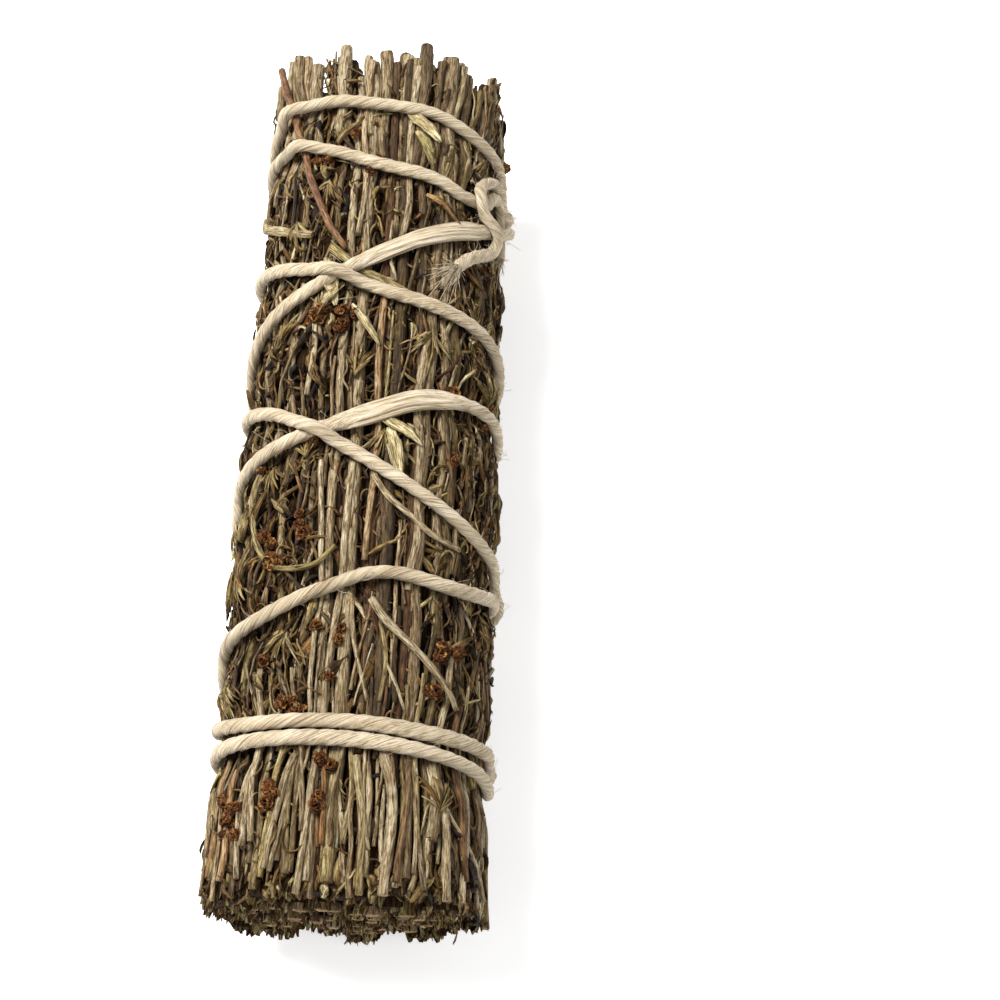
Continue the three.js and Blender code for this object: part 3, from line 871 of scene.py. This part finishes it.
class Nodes:
    """A material's node tree, with short calls for the nodes used here."""

    def __init__(self, name):
        self.material = bpy.data.materials.new(name)
        self.material.use_nodes = True
        self.tree = self.material.node_tree
        self.shader = self.tree.nodes["Principled BSDF"]

    def link(self, source, target):
        self.tree.links.new(source, target)

    def attribute(self, name, output):
        node = self.tree.nodes.new("ShaderNodeAttribute")
        node.attribute_name = name
        return node.outputs[output]

    def noise(self, vector, scale, detail=4, roughness=0.6):
        node = self.tree.nodes.new("ShaderNodeTexNoise")
        node.inputs["Scale"].default_value = scale
        node.inputs["Detail"].default_value = detail
        node.inputs["Roughness"].default_value = roughness
        self.link(vector, node.inputs["Vector"])
        return node.outputs["Fac"]

    def ramp(self, value, stops):
        node = self.tree.nodes.new("ShaderNodeValToRGB")
        elements = node.color_ramp.elements
        while len(elements) < len(stops):
            elements.new(0.5)
        for element, (position, code) in zip(elements, stops):
            element.position = position
            element.color = linear(code)
        self.link(value, node.inputs["Fac"])
        return node.outputs["Color"]

    def math(self, operation, a, b):
        node = self.tree.nodes.new("ShaderNodeMath")
        node.operation = operation
        for value, socket in zip((a, b), node.inputs):
            if isinstance(value, (int, float)):
                socket.default_value = value
            else:
                self.link(value, socket)
        return node.outputs["Value"]

    def multiply(self, a, b, factor=1.0):
        node = self.tree.nodes.new("ShaderNodeMix")
        node.data_type = "RGBA"
        node.blend_type = "MULTIPLY"
        node.inputs["Factor"].default_value = factor
        self.link(a, node.inputs["A"])
        self.link(b, node.inputs["B"])
        return node.outputs["Result"]

    def bump(self, height, strength, distance):
        node = self.tree.nodes.new("ShaderNodeBump")
        node.inputs["Strength"].default_value = strength
        node.inputs["Distance"].default_value = distance
        self.link(height, node.inputs["Height"])
        self.link(node.outputs["Normal"], self.shader.inputs["Normal"])

    def finish(self, colour, roughness, specular=0.3):
        self.link(colour, self.shader.inputs["Base Color"])
        self.shader.inputs["Roughness"].default_value = roughness
        self.shader.inputs["Specular IOR Level"].default_value = specular
        return self.material


TINTS = [(0.3, "#e0ba94"), (0.42, "#ffffff"), (0.55, "#f4f4f4"), (0.7, "#dddbaa")]  # rust to olive


def plant_material(name, stops, streaks, depth, roughness):
    """Dry plant matter: a strand's tone picks its colour, and grain along it darkens and roughens it."""
    nodes = Nodes(name)
    grain = nodes.attribute("grain", "Vector")
    tone = nodes.attribute("tone", "Fac")
    fine = nodes.noise(grain, 4.5, 6, 0.75)
    broad = nodes.noise(grain, 0.8, 4, 0.7)
    patchy = nodes.math("MULTIPLY_ADD", broad, 1.1)
    patchy.node.inputs[2].default_value = -0.55
    tint = nodes.ramp(nodes.noise(grain, 0.05, 1, 0.5), TINTS)
    colour = nodes.multiply(nodes.ramp(nodes.math("ADD", tone, patchy), stops), tint)
    nodes.bump(fine, depth, 0.5 * MM)
    return nodes.finish(nodes.multiply(colour, nodes.ramp(fine, streaks)), roughness)


def mass_material_painted_shade():
    nodes = Nodes("leaf_mass_painted_shade")
    grain = nodes.attribute("grain", "Vector")
    fine = nodes.noise(grain, 3.0, 6, 0.75)
    # Near-black to dark brown: the leaves underneath, darkened as painted shade of the gaps between strands.
    colour = nodes.ramp(fine, [(0.35, "#0b0502"), (0.5, "#2a1a0c"), (0.7, "#57401f")])
    nodes.bump(fine, 1.0, 0.6 * MM)
    return nodes.finish(colour, 0.95, 0.1)


def plant_materials():
    leaf = [(0.0, "#1c0e04"), (0.2, "#46300f"), (0.4, "#735626")]
    leaf += [(0.6, "#94794a"), (0.8, "#b5a374"), (1.0, "#d8cda6")]
    stem = [(0.0, "#43321e"), (0.35, "#7a674a"), (0.65, "#a39273"), (1.0, "#cabda0")]
    flower = [(0.0, "#36190a"), (0.4, "#744218"), (0.75, "#a36d34"), (1.0, "#cb9858")]
    red = [(0.0, "#43210f"), (0.5, "#6f4028"), (1.0, "#a07a58")]
    cut = [(0.0, "#5b4529"), (0.5, "#96794e"), (1.0, "#c9b083")]
    streaks = [(0.36, "#2a1d12"), (0.48, "#b3a389"), (0.59, "#ffffff")]
    soft_streaks = [(0.36, "#3a2b1b"), (0.5, "#b9ad95"), (0.6, "#ffffff")]
    return [
        mass_material_painted_shade(),
        plant_material("leaf", leaf, soft_streaks, 0.7, 0.85),
        plant_material("stem", stem, streaks, 0.8, 0.8),
        plant_material("flower", flower, soft_streaks, 0.7, 0.85),
        plant_material("red_bark", red, soft_streaks, 0.5, 0.65),
        plant_material("cut_wood", cut, soft_streaks, 0.5, 0.9),
    ]


def twine_material():
    """Undyed cotton: fine fibres along the twist, a little darker between them."""
    nodes = Nodes("cotton_twine")
    grain = nodes.attribute("grain", "Vector")
    fibres = nodes.noise(grain, 5.5, 5, 0.7)
    broad = nodes.noise(grain, 0.6, 2, 0.5)
    colour = nodes.ramp(broad, [(0.25, "#b0a28a"), (0.5, "#c8bba3"), (0.8, "#d9d0be")])
    shade = nodes.ramp(fibres, [(0.34, "#8a7860"), (0.48, "#dcd3c3"), (0.6, "#ffffff")])
    nodes.bump(fibres, 0.9, 0.3 * MM)
    material = nodes.finish(nodes.multiply(colour, shade), 0.9, 0.2)
    nodes.shader.inputs["Sheen Weight"].default_value = 0.15
    return material


# The studio


def camera():
    elevation, yaw, roll = (math.radians(v) for v in (CAMERA_ELEVATION, CAMERA_YAW, CAMERA_ROLL))
    back = Vector((
        math.sin(yaw) * math.cos(elevation),
        -math.cos(yaw) * math.cos(elevation),
        math.sin(elevation),
    ))
    right = Vector((0, 0, 1)).cross(back).normalized()
    up = back.cross(right)
    right, up = right * math.cos(roll) + up * math.sin(roll), up * math.cos(roll) - right * math.sin(roll)
    data = bpy.data.cameras.new("camera")
    data.lens = CAMERA_LENS
    data.clip_start = 0.01
    eye = bpy.data.objects.new("camera", data)
    eye.matrix_world = Matrix.Translation(CAMERA_TARGET + back * CAMERA_DISTANCE) @ Matrix(
        (right, up, back)
    ).transposed().to_4x4()
    bpy.context.scene.collection.objects.link(eye)
    bpy.context.scene.camera = eye


def studio():
    bpy.ops.mesh.primitive_plane_add(size=6)
    floor = bpy.context.object
    floor.name = "floor"
    nodes = Nodes("pale_floor")
    nodes.shader.inputs["Base Color"].default_value = (0.9, 0.9, 0.9, 1)
    nodes.shader.inputs["Roughness"].default_value = 0.9
    nodes.shader.inputs["Emission Color"].default_value = (1, 1, 1, 1)
    nodes.shader.inputs["Emission Strength"].default_value = FLOOR_GLOW
    floor.data.materials.append(nodes.material)
    world = bpy.data.worlds.new("studio")
    bpy.context.scene.world = world
    world.use_nodes = True
    world.node_tree.nodes["Background"].inputs["Color"].default_value = (1, 1, 1, 1)
    world.node_tree.nodes["Background"].inputs["Strength"].default_value = WORLD_STRENGTH
    light("key", (-0.32, 0.2, 0.6), 0.3, KEY_POWER)
    light("fill", (0.4, -0.3, 0.5), 0.5, FILL_POWER)
    bpy.context.scene.view_settings.view_transform = "Standard"


def light(name, at, size, power):
    data = bpy.data.lights.new(name, "AREA")
    data.size = size
    data.energy = power
    lamp = bpy.data.objects.new(name, data)
    lamp.location = at
    lamp.rotation_euler = (-Vector(at)).to_track_quat("-Z", "Y").to_euler()
    bpy.context.scene.collection.objects.link(lamp)


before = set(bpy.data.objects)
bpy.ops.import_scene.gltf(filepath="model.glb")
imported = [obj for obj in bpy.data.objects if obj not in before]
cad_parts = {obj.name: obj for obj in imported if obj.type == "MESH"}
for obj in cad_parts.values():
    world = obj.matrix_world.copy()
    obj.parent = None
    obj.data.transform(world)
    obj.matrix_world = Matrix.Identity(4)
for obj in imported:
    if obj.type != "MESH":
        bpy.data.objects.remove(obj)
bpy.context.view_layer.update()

camera()
studio()
plants = plant_materials()
spots = twine_spots()
grooves = Grooves(spots)
for number, name in enumerate(sorted(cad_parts)):
    if name.startswith("sprig_outer"):
        OuterSprig(name, grooves, 100 + number).make(plants)
    elif name.startswith("sprig"):
        inner_sprig(name, plants, 100 + number)
for number, (name, (kind, diameter, route)) in enumerate(LOOSE_TWIGS.items()):
    loose_twig(name, kind, diameter * MM, route, plants, 300 + number, grooves)
twine(spots, [twine_material()])
